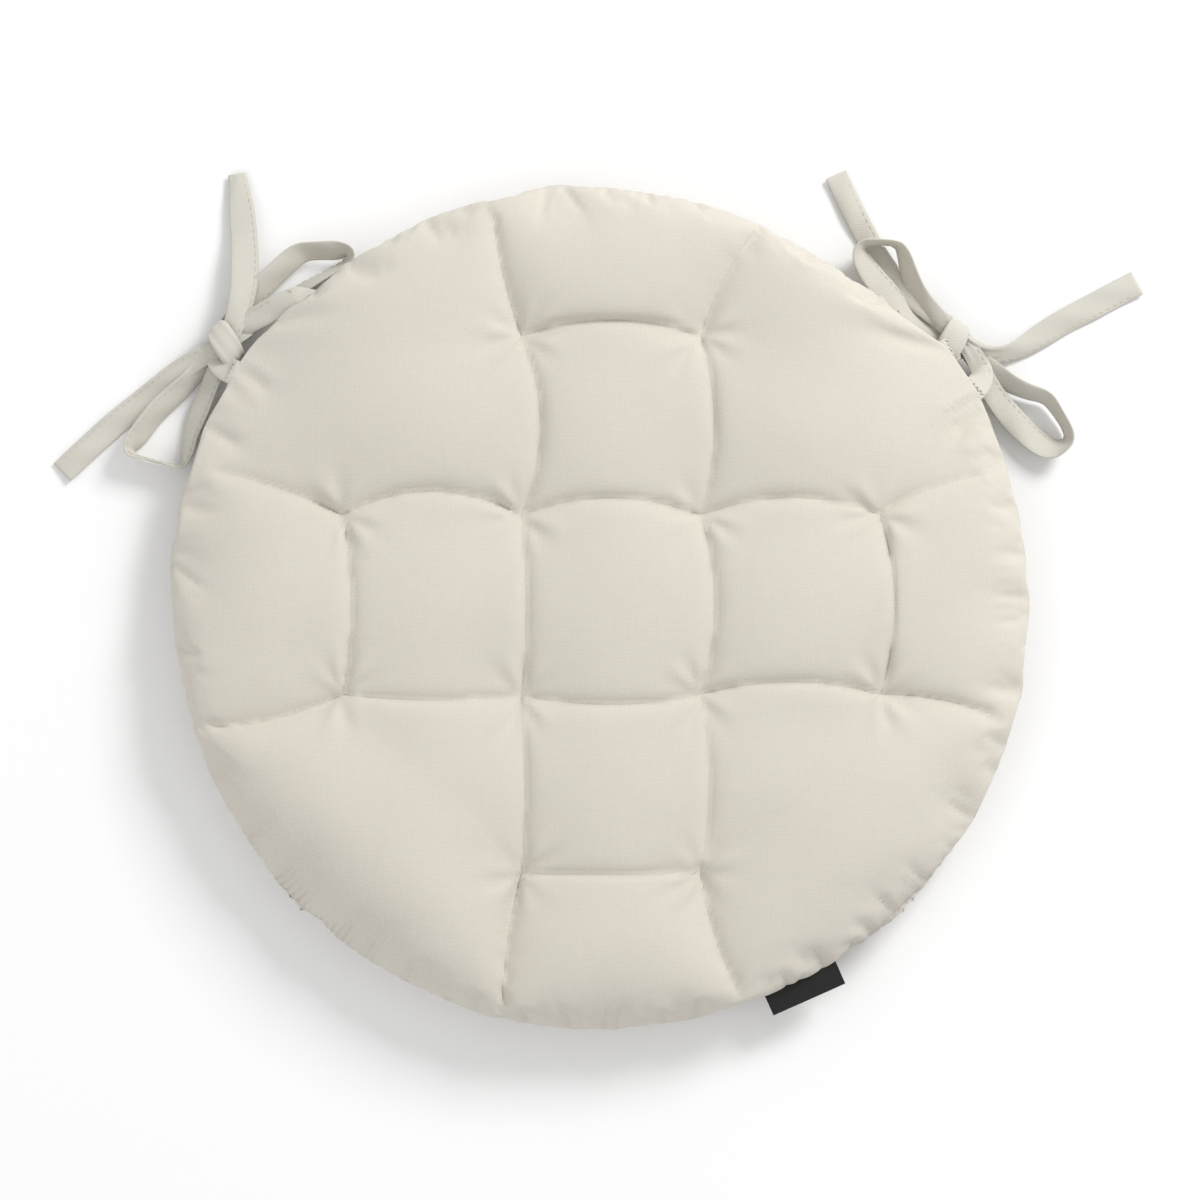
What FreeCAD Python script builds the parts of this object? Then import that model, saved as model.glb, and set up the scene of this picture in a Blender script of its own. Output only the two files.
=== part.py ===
import FreeCAD, Part

import math
import os

# Round tufted chair seat pad with two pairs of fabric ties, each pair tied in a bow.
# Frame: the pad lies flat on Z = 0, its centre is the origin, and the ties leave its back edge (+Y).

doc = FreeCAD.newDocument("SeatPad")
sheet = doc.addObject("Spreadsheet::Sheet", "sizes")

# Driving dimensions, in millimetres and degrees.
SIZES = {
    "pad_radius": 198.0,
    "seam_height": 20.0,
    "crown_rise": 30.0,
    "belly_drop": 30.0,
    "cover_thickness": 0.6,
    "filling_clearance": 0.2,
    "tuft_pitch": 83.0,
    "tuft_shift_right": 5.0,
    "tuft_shift_back": 2.0,
    "tuft_upper_level": 31.0,
    "tuft_lower_level": 9.0,
    "dimple_radius": 45.0,
    "tuft_thread_diameter": 1.6,
    "thread_clearance": 0.2,
    "knot_length": 8.0,
    "knot_width": 2.0,
    "knot_thickness": 1.2,
    "knot_clearance": 0.25,
    "seam_thread_diameter": 0.6,
    "seam_thread_clearance": 0.1,
    "closing_bearing": 252.0,
    "closing_sweep": 35.0,
    "closing_end_gap": 0.5,
    "label_width": 36.6,
    "label_reach": 7.0,
    "label_thickness": 0.8,
    "label_offset": 2.0,
    "label_bearing": -61.5,
    "label_turn": -4.4,
    "tie_width": 12.0,
    "tie_thickness": 1.2,
    "tack_length": 12.0,
    "tack_rise": 0.9,
}

# Tufts in each row, from the front row to the back row.
TUFT_ROWS = [2, 4, 4, 2]

# Tie routes, root first: out of the seam, through the knot, round a loop, through the knot, along the tail.
TIE_ROUTES = {
    "left_rear_tie": [
        (-140.9, 144.2, 20.0), (-157.0, 138.5, 13.5), (-176.0, 124.0, 5.5), (-191.5, 107.5, 4.5),
        (-207.5, 93.0, 4.5), (-219.0, 79.5, 5.0), (-217.0, 66.0, 5.0), (-201.0, 61.5, 5.0),
        (-191.5, 82.5, 5.5), (-182.5, 103.5, 8.5), (-173.0, 124.5, 13.0), (-166.0, 148.0, 11.0),
        (-164.5, 170.0, 7.0), (-167.5, 189.0, 4.0), (-169.0, 203.0, 3.0),
    ],
    "left_front_tie": [
        (-170.7, 110.2, 20.0), (-180.0, 114.5, 8.0), (-178.0, 127.5, 4.0), (-165.0, 144.0, 6.5),
        (-150.5, 158.0, 8.0), (-133.0, 168.0, 8.0), (-117.0, 170.0, 7.0), (-118.5, 158.5, 5.0),
        (-137.5, 150.0, 4.0), (-156.0, 138.0, 5.5), (-175.0, 123.0, 14.5), (-193.5, 114.5, 7.0),
        (-212.0, 99.5, 3.0), (-231.0, 84.0, 2.8), (-251.0, 64.5, 2.8),
    ],
    "right_rear_tie": [
        (161.9, 120.0, 20.0), (168.5, 123.0, 7.5), (175.5, 118.5, 4.5), (187.0, 108.0, 5.0),
        (203.0, 101.5, 5.5), (215.0, 93.5, 6.0), (220.0, 80.5, 6.0), (207.5, 73.5, 5.5),
        (194.0, 87.0, 5.5), (182.0, 102.5, 7.5), (171.0, 126.0, 15.0), (150.5, 141.0, 7.5),
        (135.0, 157.5, 3.0), (121.5, 179.5, 3.0), (110.5, 203.0, 2.8),
    ],
    "right_front_tie": [
        (173.9, 102.3, 20.0), (181.0, 108.5, 9.0), (172.0, 121.5, 5.5), (156.0, 132.5, 7.0),
        (140.0, 144.0, 8.0), (127.0, 156.5, 9.0), (120.5, 167.0, 9.5), (126.5, 175.0, 9.5),
        (138.0, 171.0, 9.0), (144.0, 157.0, 8.5), (153.0, 140.5, 10.0), (166.5, 126.5, 14.5),
        (180.0, 118.0, 8.5), (194.5, 119.5, 4.0), (210.5, 131.0, 3.0), (229.5, 141.0, 2.8),
        (251.0, 152.0, 2.8),
    ],
}
BEND_SHARE = 0.45


def fill_sheet():
    for row, (alias, value) in enumerate(SIZES.items(), start=1):
        sheet.set("A%d" % row, alias)
        sheet.set("B%d" % row, str(value))
        sheet.setAlias("B%d" % row, alias)
    doc.recompute()


def size(alias):
    return float(sheet.get(alias))


def bound(kind, name, **expressions):
    """A document object whose properties follow the sheet. Placement parts are given as x, y and z."""
    item = doc.addObject(kind, name)
    paths = {"x": "Placement.Base.x", "y": "Placement.Base.y", "z": "Placement.Base.z"}
    for key, expression in expressions.items():
        item.setExpression(paths.get(key, key), str(expression).replace("$", "sizes."))
    return item


def cut(name, base, tool):
    item = doc.addObject("Part::Cut", name)
    item.Base = base
    item.Tool = tool
    return item


def joined(name, pieces):
    item = doc.addObject("Part::MultiFuse", name)
    item.Shapes = pieces
    return item


def label_as(item, node):
    item.Label = node
    nodes.append(item)
    return item


def tuft_centres():
    """Expressions for the x and y of each tuft, front row first, left to right."""
    centres = []
    for row, count in enumerate(TUFT_ROWS):
        up = row - (len(TUFT_ROWS) - 1) / 2
        for column in range(count):
            across = column - (count - 1) / 2
            centres.append(("$tuft_shift_right + %g * $tuft_pitch" % across,
                            "$tuft_shift_back + %g * $tuft_pitch" % up))
    return centres


def dimples(name, inset, level, side):
    """Balls that press a dimple into the pad at every tuft. side is 1 above the pad and -1 below it."""
    balls = []
    for number, (x, y) in enumerate(tuft_centres(), start=1):
        balls.append(bound("Part::Sphere", "%s_ball_%02d" % (name, number),
                           Radius="$dimple_radius + %s" % inset,
                           x=x, y=y, z="%s + %d * $dimple_radius" % (level, side)))
    return joined(name + "_dimples", balls)


def upper_form(name, inset):
    """The crowned half above the seam, drawn in by inset all over."""
    crown = bound("Part::Ellipsoid", name + "_crown", Radius1="$crown_rise - (%s)" % inset,
                  Radius2="$pad_radius - (%s)" % inset, Angle1="0", z="$seam_height")
    return cut(name + "_upper", crown, dimples(name + "_top", inset, "$tuft_upper_level", 1))


def lower_form(name, inset):
    """The half below the seam, flat where it rests, drawn in by inset all over."""
    belly = bound("Part::Ellipsoid", name + "_belly", Radius1="$belly_drop - (%s)" % inset,
                  Radius2="$pad_radius - (%s)" % inset, Angle2="0", z="$seam_height")
    rest = bound("Part::Box", name + "_rest", Length="2 * $pad_radius", Width="2 * $pad_radius",
                 Height="$seam_height", x="-$pad_radius", y="-$pad_radius", z=inset)
    flat = doc.addObject("Part::Common", name + "_flat")
    flat.Base = belly
    flat.Tool = rest
    return cut(name + "_lower", flat, dimples(name + "_under", inset, "$tuft_lower_level", -1))


def thread_holes():
    """One hole right through the pad for each tuft's thread."""
    holes = []
    for number, (x, y) in enumerate(tuft_centres(), start=1):
        holes.append(bound("Part::Cylinder", "hole_%02d" % number,
                           Radius="$tuft_thread_diameter / 2 + $thread_clearance",
                           Height="$seam_height + $crown_rise", x=x, y=y))
    return joined("tuft_holes", holes)


def top_cover(holes):
    shell = cut("top_shell", upper_form("top_outer", "0"), upper_form("top_inner", "$cover_thickness"))
    label_as(cut("top_cloth", shell, holes), "top_cover")


def bottom_cover(holes):
    shell = cut("bottom_shell", lower_form("bottom_outer", "0"),
                lower_form("bottom_inner", "$cover_thickness"))
    label_as(cut("bottom_cloth", shell, holes), "bottom_cover")


def fibre_filling(holes):
    inset = "$cover_thickness + $filling_clearance"
    whole = joined("wadding", [upper_form("fill", inset), lower_form("fill", inset)])
    label_as(cut("fibre", whole, holes), "fibre_filling")


def tuft_stitches():
    """A thread through the pad at each tuft, with a short knot lying in the dimple on each face."""
    for number, (x, y) in enumerate(tuft_centres(), start=1):
        name = "tuft_%02d" % number
        column = bound("Part::Cylinder", name + "_thread", Radius="$tuft_thread_diameter / 2",
                       Height="$tuft_upper_level - $tuft_lower_level + 2 * $knot_clearance",
                       x=x, y=y, z="$tuft_lower_level - $knot_clearance")
        levels = {"upper": "$tuft_upper_level + $knot_clearance",
                  "lower": "$tuft_lower_level - $knot_clearance - $knot_thickness"}
        knots = [bound("Part::Box", "%s_%s_knot" % (name, side), Length="$knot_length",
                       Width="$knot_width", Height="$knot_thickness",
                       x=x + " - $knot_length / 2", y=y + " - $knot_width / 2", z=level)
                 for side, level in levels.items()]
        label_as(joined(name, [column] + knots), "tuft_stitch_%02d" % number)


def seam_arc(name, node, bearing, sweep, rise="0"):
    """A length of thread that follows the rim, from a bearing, over a sweep in degrees."""
    arc = bound("Part::Torus", name, Radius1="$pad_radius + $seam_thread_diameter / 2 + $seam_thread_clearance",
                Radius2="$seam_thread_diameter / 2", Angle3=sweep, z="$seam_height + " + rise)
    arc.setExpression("Placement.Rotation.Angle", str(bearing).replace("$", "sizes."))
    arc.Placement.Rotation.Axis = FreeCAD.Vector(0, 0, 1)
    label_as(arc, node)


def seam_threads():
    seam_arc("closing", "closing_stitch_thread", "$closing_bearing", "$closing_sweep")
    seam_arc("seam", "perimeter_seam_thread", "$closing_bearing + $closing_sweep + $closing_end_gap",
             "360 - $closing_sweep - 2 * $closing_end_gap")


def tie_tacks():
    """Short reinforcing stitches over the seam, one at each tie's root."""
    sweep = "$tack_length / $pad_radius * 180 / pi"
    for tie, route in TIE_ROUTES.items():
        bearing = math.degrees(math.atan2(route[0][1], route[0][0]))
        seam_arc(tie + "_arc", tie + "_tack", "%.2f - %s / 2" % (bearing, sweep), sweep, "$tack_rise")


def woven_label():
    """A flat blank label that stands out of the seam at the front right."""
    plate = bound("Part::Box", "label_plate", Length="$label_reach", Width="$label_width",
                  Height="$label_thickness")
    bearing = math.radians(size("label_bearing"))
    turn = size("label_bearing") + size("label_turn")
    root = size("pad_radius") + size("label_offset")
    turned = FreeCAD.Rotation(FreeCAD.Vector(0, 0, 1), turn)
    corner = turned.multVec(FreeCAD.Vector(0, -size("label_width") / 2, -size("label_thickness") / 2))
    edge = FreeCAD.Vector(root * math.cos(bearing), root * math.sin(bearing), size("seam_height"))
    plate.Placement = FreeCAD.Placement(edge + corner, turned)
    label_as(plate, "woven_label")


def smooth_path(points):
    """Straight runs joined by tangent arcs, each as large as its two runs allow."""
    points = [FreeCAD.Vector(*point) for point in points]
    edges = []
    radii = []
    start = points[0]
    for before, corner, after in zip(points, points[1:], points[2:]):
        inward = (before - corner).normalize()
        outward = (after - corner).normalize()
        reach = BEND_SHARE * min((before - corner).Length, (after - corner).Length)
        half_turn = (math.pi - inward.getAngle(outward)) / 2
        radius = reach / math.tan(half_turn)
        first = corner + inward * reach
        last = corner + outward * reach
        centre = corner + (inward + outward).normalize() * (radius / math.cos(half_turn))
        middle = centre + (corner - centre).normalize() * radius
        edges.append(Part.LineSegment(start, first).toShape())
        edges.append(Part.Arc(first, middle, last).toShape())
        radii.append(radius)
        start = last
    edges.append(Part.LineSegment(start, points[-1]).toShape())
    return Part.Wire(edges), radii


def ties():
    """Each flat tie as a plain round tube that has the same cross-section area."""
    area = size("tie_width") * size("tie_thickness")
    radius = math.sqrt(area / math.pi)
    for node, route in TIE_ROUTES.items():
        path, radii = smooth_path(route)
        first = path.Edges[0]
        ring = Part.Circle(first.valueAt(first.FirstParameter), first.tangentAt(first.FirstParameter), radius)
        tube = path.makePipeShell([Part.Wire(ring.toShape())], True, False)
        tie = doc.addObject("Part::Feature", node)
        tie.Shape = tube
        label_as(tie, node)
        print("%s: length %.0f mm, smallest bend radius %.1f mm, volume ratio %.4f" % (
            node, path.Length, min(radii), tube.Volume / (area * path.Length)))


def check_model():
    doc.recompute()
    for item in doc.Objects:
        if {"Invalid", "Error"} & set(item.State):
            raise RuntimeError("%s failed: %s" % (item.Name, item.State))
    for item in nodes:
        if item.Shape.isNull() or not item.Shape.isValid():
            raise RuntimeError("%s has no valid shape" % item.Label)


def write_steps():
    os.makedirs("parts", exist_ok=True)
    for item in nodes:
        item.Shape.exportStep(os.path.join("parts", item.Label + ".step"))
        print("%s: %d solid, %.0f mm3" % (item.Label, len(item.Shape.Solids), item.Shape.Volume))


nodes = []
fill_sheet()
shared_holes = thread_holes()
top_cover(shared_holes)
bottom_cover(shared_holes)
fibre_filling(shared_holes)
tuft_stitches()
seam_threads()
tie_tacks()
woven_label()
ties()
check_model()
write_steps()
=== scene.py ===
import math
import bmesh
import bpy
import numpy as np
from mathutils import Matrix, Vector


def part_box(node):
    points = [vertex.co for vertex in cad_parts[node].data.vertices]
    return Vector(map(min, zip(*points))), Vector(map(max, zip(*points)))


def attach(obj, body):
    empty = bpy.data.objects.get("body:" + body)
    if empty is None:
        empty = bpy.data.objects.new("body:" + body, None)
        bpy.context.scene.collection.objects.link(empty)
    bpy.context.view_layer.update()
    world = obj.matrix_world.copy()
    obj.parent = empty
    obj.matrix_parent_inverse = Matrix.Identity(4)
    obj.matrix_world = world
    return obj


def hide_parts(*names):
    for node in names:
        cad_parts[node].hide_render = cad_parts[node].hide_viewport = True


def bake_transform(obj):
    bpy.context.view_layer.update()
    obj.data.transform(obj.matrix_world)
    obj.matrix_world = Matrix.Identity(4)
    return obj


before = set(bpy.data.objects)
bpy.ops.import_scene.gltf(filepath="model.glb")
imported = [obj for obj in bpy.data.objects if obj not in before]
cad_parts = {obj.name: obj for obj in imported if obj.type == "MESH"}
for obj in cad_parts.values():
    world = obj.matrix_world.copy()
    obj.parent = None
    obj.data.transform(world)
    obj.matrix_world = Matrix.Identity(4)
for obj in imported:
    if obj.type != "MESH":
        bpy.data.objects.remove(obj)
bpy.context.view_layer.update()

scene = bpy.context.scene
up = np.array([0.0, 0.0, 1.0])

camera = {"lens": 160, "aim": (0.0, 0.0042), "height": 2.50}

cameraObject = bpy.data.objects.new("camera", bpy.data.cameras.new("camera"))
cameraObject.data.lens = camera["lens"]
cameraObject.data.clip_end = 20
cameraObject.location = (*camera["aim"], camera["height"])  # straight down, +Y up in the frame
scene.collection.objects.link(cameraObject)
scene.camera = cameraObject

# One entry per tie: its route in metres from the seam to the tip, then for each point of the route
# how far the ribbon leans to the right of its own direction, in degrees, and its width in millimetres.
tie = {"width": 0.012, "thickness": 0.0013, "pleat": 0.0040, "ring": 0.0010, "tuckIn": 0.010,
       "stitchLength": 0.0024, "stitchGap": 0.0012, "stitchInset": 0.0016, "stitchRadius": 0.00022,
       "waviness": 0.0005, "camber": 0.0004, "girth": 0.026, "pleatCount": 8.0, "slowWave": 95,
       "quickWave": 231}

tieRoutes = {
    "left_rear_tie": {
        "length": 0.2805, "body": "left_bow",
        "route": [(-.1409, .1442, .0200), (-.1570, .1385, .0150), (-.1760, .1240, .0085),
                  (-.1900, .1085, .0058), (-.2075, .0925, .0052), (-.2172, .0790, .0056),
                  (-.2205, .0738, .0062), (-.2155, .0714, .0064), (-.1995, .0672, .0064),
                  (-.1948, .0662, .0064), (-.1932, .0740, .0060), (-.1910, .0850, .0058),
                  (-.1830, .1035, .0085), (-.1735, .1245, .0130), (-.1670, .1430, .0120),
                  (-.1655, .1600, .0085), (-.1672, .1850, .0035), (-.1700, .2038, .0016)],
        "lean": [0, 0, -8, -36, -40, -46, -80, -84, -84, -80, -50, -48, -38, -5, 6, 0, 4, 0],
        "width": [12, 11.5, 7.5, 11.5, 12, 12, 12, 12, 12, 12, 12, 12, 11, 8.5, 12, 13.2, 12, 8.5]},
    "left_front_tie": {
        "length": 0.2785, "body": "left_bow",
        "route": [(-.1707, .1102, .0200), (-.1800, .1145, .0105), (-.1780, .1275, .0060),
                  (-.1655, .1430, .0065), (-.1540, .1545, .0072), (-.1425, .1650, .0075),
                  (-.1370, .1672, .0075), (-.1240, .1672, .0074), (-.1168, .1668, .0072),
                  (-.1178, .1622, .0068), (-.1290, .1560, .0066), (-.1425, .1485, .0064),
                  (-.1560, .1390, .0070), (-.1750, .1230, .0145), (-.1935, .1140, .0070),
                  (-.2120, .0990, .0022), (-.2310, .0840, .0014), (-.2520, .0640, .0014)],
        "lean": [0, 0, 10, 26, 26, 30, 44, 42, 74, 80, 72, 66, 45, 5, -5, 0, 0, 0],
        "width": [12, 11.5, 7.5, 11, 12, 12, 12, 12, 12, 12, 12, 12, 11, 8, 10.5, 11.5, 11.5, 11.5]},
    "right_rear_tie": {
        "length": 0.2590, "body": "right_bow",
        "route": [(.1619, .1200, .0200), (.1685, .1230, .0095), (.1755, .1185, .0060),
                  (.1860, .1085, .0060), (.1990, .1015, .0062), (.2080, .0990, .0066),
                  (.2118, .0950, .0068), (.2190, .0830, .0068), (.2185, .0772, .0062),
                  (.2085, .0745, .0050), (.1950, .0865, .0045), (.1820, .1025, .0070),
                  (.1710, .1260, .0150), (.1505, .1410, .0075), (.1350, .1575, .0020),
                  (.1215, .1795, .0016), (.1105, .2035, .0014)],
        "lean": [0, 0, 20, 46, 48, 58, 66, 70, 76, 30, 8, 8, 5, 0, 0, 0, 0],
        "width": [12, 11, 8, 11.5, 12, 12, 12, 12, 12, 12, 12, 11, 8, 9.5, 10, 10.5, 10.5]},
    "right_front_tie": {
        "length": 0.2674, "body": "right_bow",
        "route": [(.1739, .1023, .0200), (.1810, .1085, .0110), (.1720, .1215, .0065),
                  (.1560, .1310, .0075), (.1390, .1430, .0080), (.1265, .1560, .0088),
                  (.1215, .1660, .0092), (.1228, .1705, .0092), (.1290, .1712, .0092),
                  (.1375, .1708, .0090), (.1410, .1675, .0090), (.1445, .1540, .0086),
                  (.1530, .1400, .0095), (.1665, .1265, .0145), (.1800, .1180, .0085),
                  (.1945, .1195, .0035), (.2105, .1310, .0016), (.2295, .1410, .0014),
                  (.2518, .1528, .0014)],
        "lean": [0, 0, 12, 30, 28, 26, 40, 76, 78, 76, 60, 56, 45, 10, 35, 34, 8, 0, 0],
        "width": [12, 11, 8, 11, 12, 12, 12, 12, 12, 12, 12, 12, 11, 8, 8.5, 10, 11.5, 12, 12]},
}


# The smooth line of a route: a NURBS spline whose control points are the route's points,
# read back as closely spaced points, each with the spline's own parameter.
def smoothLine(route):
    curve = bpy.data.curves.new("routeLine", "CURVE")
    curve.dimensions = "3D"
    curve.resolution_u = 24
    spline = curve.splines.new("NURBS")
    spline.points.add(len(route) - 1)
    spline.points.foreach_set("co", np.column_stack([route, np.ones(len(route))]).ravel())
    spline.order_u = 3
    spline.use_endpoint_u = True
    guide = bpy.data.objects.new("routeLine", curve)
    scene.collection.objects.link(guide)
    mesh = bpy.data.meshes.new_from_object(guide)
    points = np.empty(len(mesh.vertices) * 3)
    mesh.vertices.foreach_get("co", points)
    bpy.data.objects.remove(guide)
    bpy.data.meshes.remove(mesh)
    bpy.data.curves.remove(curve)
    points = points.reshape(-1, 3)
    return points, np.linspace(0, len(route) - 2, len(points))


# Joins grids of points, (count, rows, columns, 3), into one mesh: every cell is a quad, the last
# column meets the first where closed, and a fan to the ring's middle shuts each capped end.
# The faces are turned round where the volume that they enclose comes out negative.
def gridMesh(name, grids, closed=False, capped=False, uv=None):
    grids = np.asarray(grids, float)
    grids = grids[None] if grids.ndim == 3 else grids
    count, rows, columns, _ = grids.shape
    points = grids.reshape(-1, 3)
    index = np.arange(len(points)).reshape(count, rows, columns)
    if closed:
        index = np.concatenate([index, index[:, :, :1]], 2)
    uvIndex = np.arange(count * rows * index.shape[2]).reshape(index.shape)

    def cells(g):
        return np.stack([g[:, :-1, :-1], g[:, :-1, 1:], g[:, 1:, 1:], g[:, 1:, :-1]], -1).reshape(-1, 4)

    faces, corners = cells(index), cells(uvIndex)
    triangles, uvTriangles = np.empty((0, 3), int), np.empty((0, 3), int)
    if uv is not None:
        uv = np.asarray(uv, float).reshape(-1, 2)
    if capped:
        middles = grids[:, [0, -1]].mean(2).reshape(-1, 3)
        middle = len(points) + np.arange(2 * count).reshape(count, 2)
        points = np.concatenate([points, middles])
        uvMiddle = np.arange(2 * count).reshape(count, 2) + uvIndex.size
        if uv is not None:
            ends = uv.reshape(count, rows, -1, 2)[:, [0, -1]].mean(2).reshape(-1, 2)
            uv = np.concatenate([uv, ends])

        def fans(g, m):
            first = np.stack([g[:, 0, 1:], g[:, 0, :-1], np.broadcast_to(m[:, :1], g[:, 0, 1:].shape)], -1)
            last = np.stack([g[:, -1, :-1], g[:, -1, 1:], np.broadcast_to(m[:, 1:], g[:, 0, 1:].shape)], -1)
            return np.concatenate([first.reshape(-1, 3), last.reshape(-1, 3)])

        triangles, uvTriangles = fans(index, middle), fans(uvIndex, uvMiddle)
    a, b, c, d = (points[faces[:, k]] for k in range(4))
    volume = np.einsum("ij,ij->", a, np.cross(b, c)) + np.einsum("ij,ij->", a, np.cross(c, d))
    if volume < 0:
        faces, corners = faces[:, ::-1], corners[:, ::-1]
        triangles, uvTriangles = triangles[:, ::-1], uvTriangles[:, ::-1]
    mesh = bpy.data.meshes.new(name)
    mesh.from_pydata(points.tolist(), [], faces.tolist() + triangles.tolist())
    mesh.polygons.foreach_set("use_smooth", np.ones(len(mesh.polygons), bool))
    if uv is not None:
        layer = mesh.uv_layers.new(name="cloth")
        order = np.concatenate([corners.ravel(), uvTriangles.ravel()])
        layer.data.foreach_set("uv", uv[order].ravel())
    return mesh


# A new object at the origin, unturned and unscaled, in one material.
def addPiece(name, mesh, material):
    piece = bpy.data.objects.new(name, mesh)
    scene.collection.objects.link(piece)
    mesh.materials.append(material)
    return piece


# Threads over and under each other in a plain weave: each thread is a half sine across its width
# and rises and sinks along its length, out of step with its neighbours. Slubs are soft streaks
# along both directions. Puts out a height, and a mix of the slubs with a painted shade where the
# weave sinks between threads, both about 0 to 1.
def weaveGroup():
    group = bpy.data.node_groups.new("plainWeave", "ShaderNodeTree")
    group.interface.new_socket("Vector", in_out="INPUT", socket_type="NodeSocketVector")
    for name, value in (("Thread spacing", 0.0006), ("Slub length", 0.02), ("Slub amount", 0.5)):
        group.interface.new_socket(name, in_out="INPUT", socket_type="NodeSocketFloat").default_value = value
    group.interface.new_socket("Height", in_out="OUTPUT", socket_type="NodeSocketFloat")
    group.interface.new_socket("Tone", in_out="OUTPUT", socket_type="NodeSocketFloat")
    nodes, links = group.nodes, group.links
    inputs, outputs = nodes.new("NodeGroupInput"), nodes.new("NodeGroupOutput")

    def sums(operation, first, second=None, third=None):
        node = nodes.new("ShaderNodeMath")
        node.operation = operation
        for socket, value in zip(node.inputs, (first, second, third)):
            if isinstance(value, (int, float)):
                socket.default_value = value
            elif value is not None:
                links.new(value, socket)
        return node.outputs[0]

    parts = nodes.new("ShaderNodeSeparateXYZ")
    links.new(inputs.outputs["Vector"], parts.inputs[0])
    warp = sums("DIVIDE", parts.outputs["X"], inputs.outputs["Thread spacing"])
    weft = sums("DIVIDE", parts.outputs["Y"], inputs.outputs["Thread spacing"])

    def thread(across, along, shift):
        crown = sums("ABSOLUTE", sums("SINE", sums("MULTIPLY", across, math.pi)))
        step = sums("ADD", along, sums("ADD", sums("FLOOR", across), shift))
        wave = sums("MULTIPLY_ADD", sums("SINE", sums("MULTIPLY", step, math.pi)), 0.5, 0.5)
        return sums("MULTIPLY", crown, wave)

    weave = sums("MAXIMUM", thread(warp, weft, 0.5), thread(weft, warp, 1.5))

    def streaks(longX):
        stretch = nodes.new("ShaderNodeCombineXYZ")
        short = sums("MULTIPLY", inputs.outputs["Thread spacing"], 2.2)
        links.new(sums("DIVIDE", parts.outputs["X"], inputs.outputs["Slub length"] if longX else short),
                  stretch.inputs["X"])
        links.new(sums("DIVIDE", parts.outputs["Y"], short if longX else inputs.outputs["Slub length"]),
                  stretch.inputs["Y"])
        noise = nodes.new("ShaderNodeTexNoise")
        noise.inputs["Scale"].default_value = 1.0
        noise.inputs["Detail"].default_value = 2.0
        links.new(stretch.outputs[0], noise.inputs["Vector"])
        return noise.outputs[0]

    slubs = sums("MULTIPLY", sums("ADD", streaks(True), streaks(False)), 0.5)
    height = sums("ADD", weave, sums("MULTIPLY", slubs, inputs.outputs["Slub amount"]))
    # Painted shade: the weave's height darkens the colour where threads sink, added to the real slub
    # streaks.
    tone = sums("ADD", sums("MULTIPLY", weave, 0.25), sums("MULTIPLY", slubs, inputs.outputs["Slub amount"]))
    links.new(height, outputs.inputs["Height"])
    links.new(tone, outputs.inputs["Tone"])
    return group


# Soft blotches of colour, as in undyed cloth: one noise moves the colour between two shades, and
# the slub streaks and a painted shade between the threads dim it a little.
def shadeGroup():
    group = bpy.data.node_groups.new("clothShade", "ShaderNodeTree")
    group.interface.new_socket("Vector", in_out="INPUT", socket_type="NodeSocketVector")
    # The amount input sets how far the slub streaks and the painted shade between threads dim the colour.
    for name, value in (("Tone", 0.5), ("Tone amount", 0.1), ("Blotch size", 0.05)):
        group.interface.new_socket(name, in_out="INPUT", socket_type="NodeSocketFloat").default_value = value
    group.interface.new_socket("Light shade", in_out="INPUT", socket_type="NodeSocketColor")
    group.interface.new_socket("Dark shade", in_out="INPUT", socket_type="NodeSocketColor")
    group.interface.new_socket("Color", in_out="OUTPUT", socket_type="NodeSocketColor")
    nodes, links = group.nodes, group.links
    inputs, outputs = nodes.new("NodeGroupInput"), nodes.new("NodeGroupOutput")
    size = nodes.new("ShaderNodeVectorMath")
    size.operation = "DIVIDE"
    links.new(inputs.outputs["Vector"], size.inputs[0])
    links.new(inputs.outputs["Blotch size"], size.inputs[1])
    noise = nodes.new("ShaderNodeTexNoise")
    noise.inputs["Scale"].default_value = 1.0
    noise.inputs["Detail"].default_value = 3.0
    links.new(size.outputs[0], noise.inputs["Vector"])
    mixed = nodes.new("ShaderNodeMix")
    mixed.data_type = "RGBA"
    links.new(noise.outputs[0], mixed.inputs["Factor"])
    links.new(inputs.outputs["Dark shade"], mixed.inputs["A"])
    links.new(inputs.outputs["Light shade"], mixed.inputs["B"])
    dim = nodes.new("ShaderNodeMath")
    dim.operation = "MULTIPLY_ADD"       # 1 + (tone - 1/2) * amount
    shifted = nodes.new("ShaderNodeMath")
    shifted.operation = "SUBTRACT"
    shifted.inputs[1].default_value = 0.5
    links.new(inputs.outputs["Tone"], shifted.inputs[0])
    links.new(shifted.outputs[0], dim.inputs[0])
    links.new(inputs.outputs["Tone amount"], dim.inputs[1])
    dim.inputs[2].default_value = 1.0
    scaled = nodes.new("ShaderNodeVectorMath")
    scaled.operation = "SCALE"
    links.new(mixed.outputs["Result"], scaled.inputs[0])
    links.new(dim.outputs[0], scaled.inputs["Scale"])
    links.new(scaled.outputs[0], outputs.inputs["Color"])
    return group


plainWeave, clothShade = weaveGroup(), shadeGroup()

# Each cloth's dimming amount weighs real slub streaks together with painted shade between threads.
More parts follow.
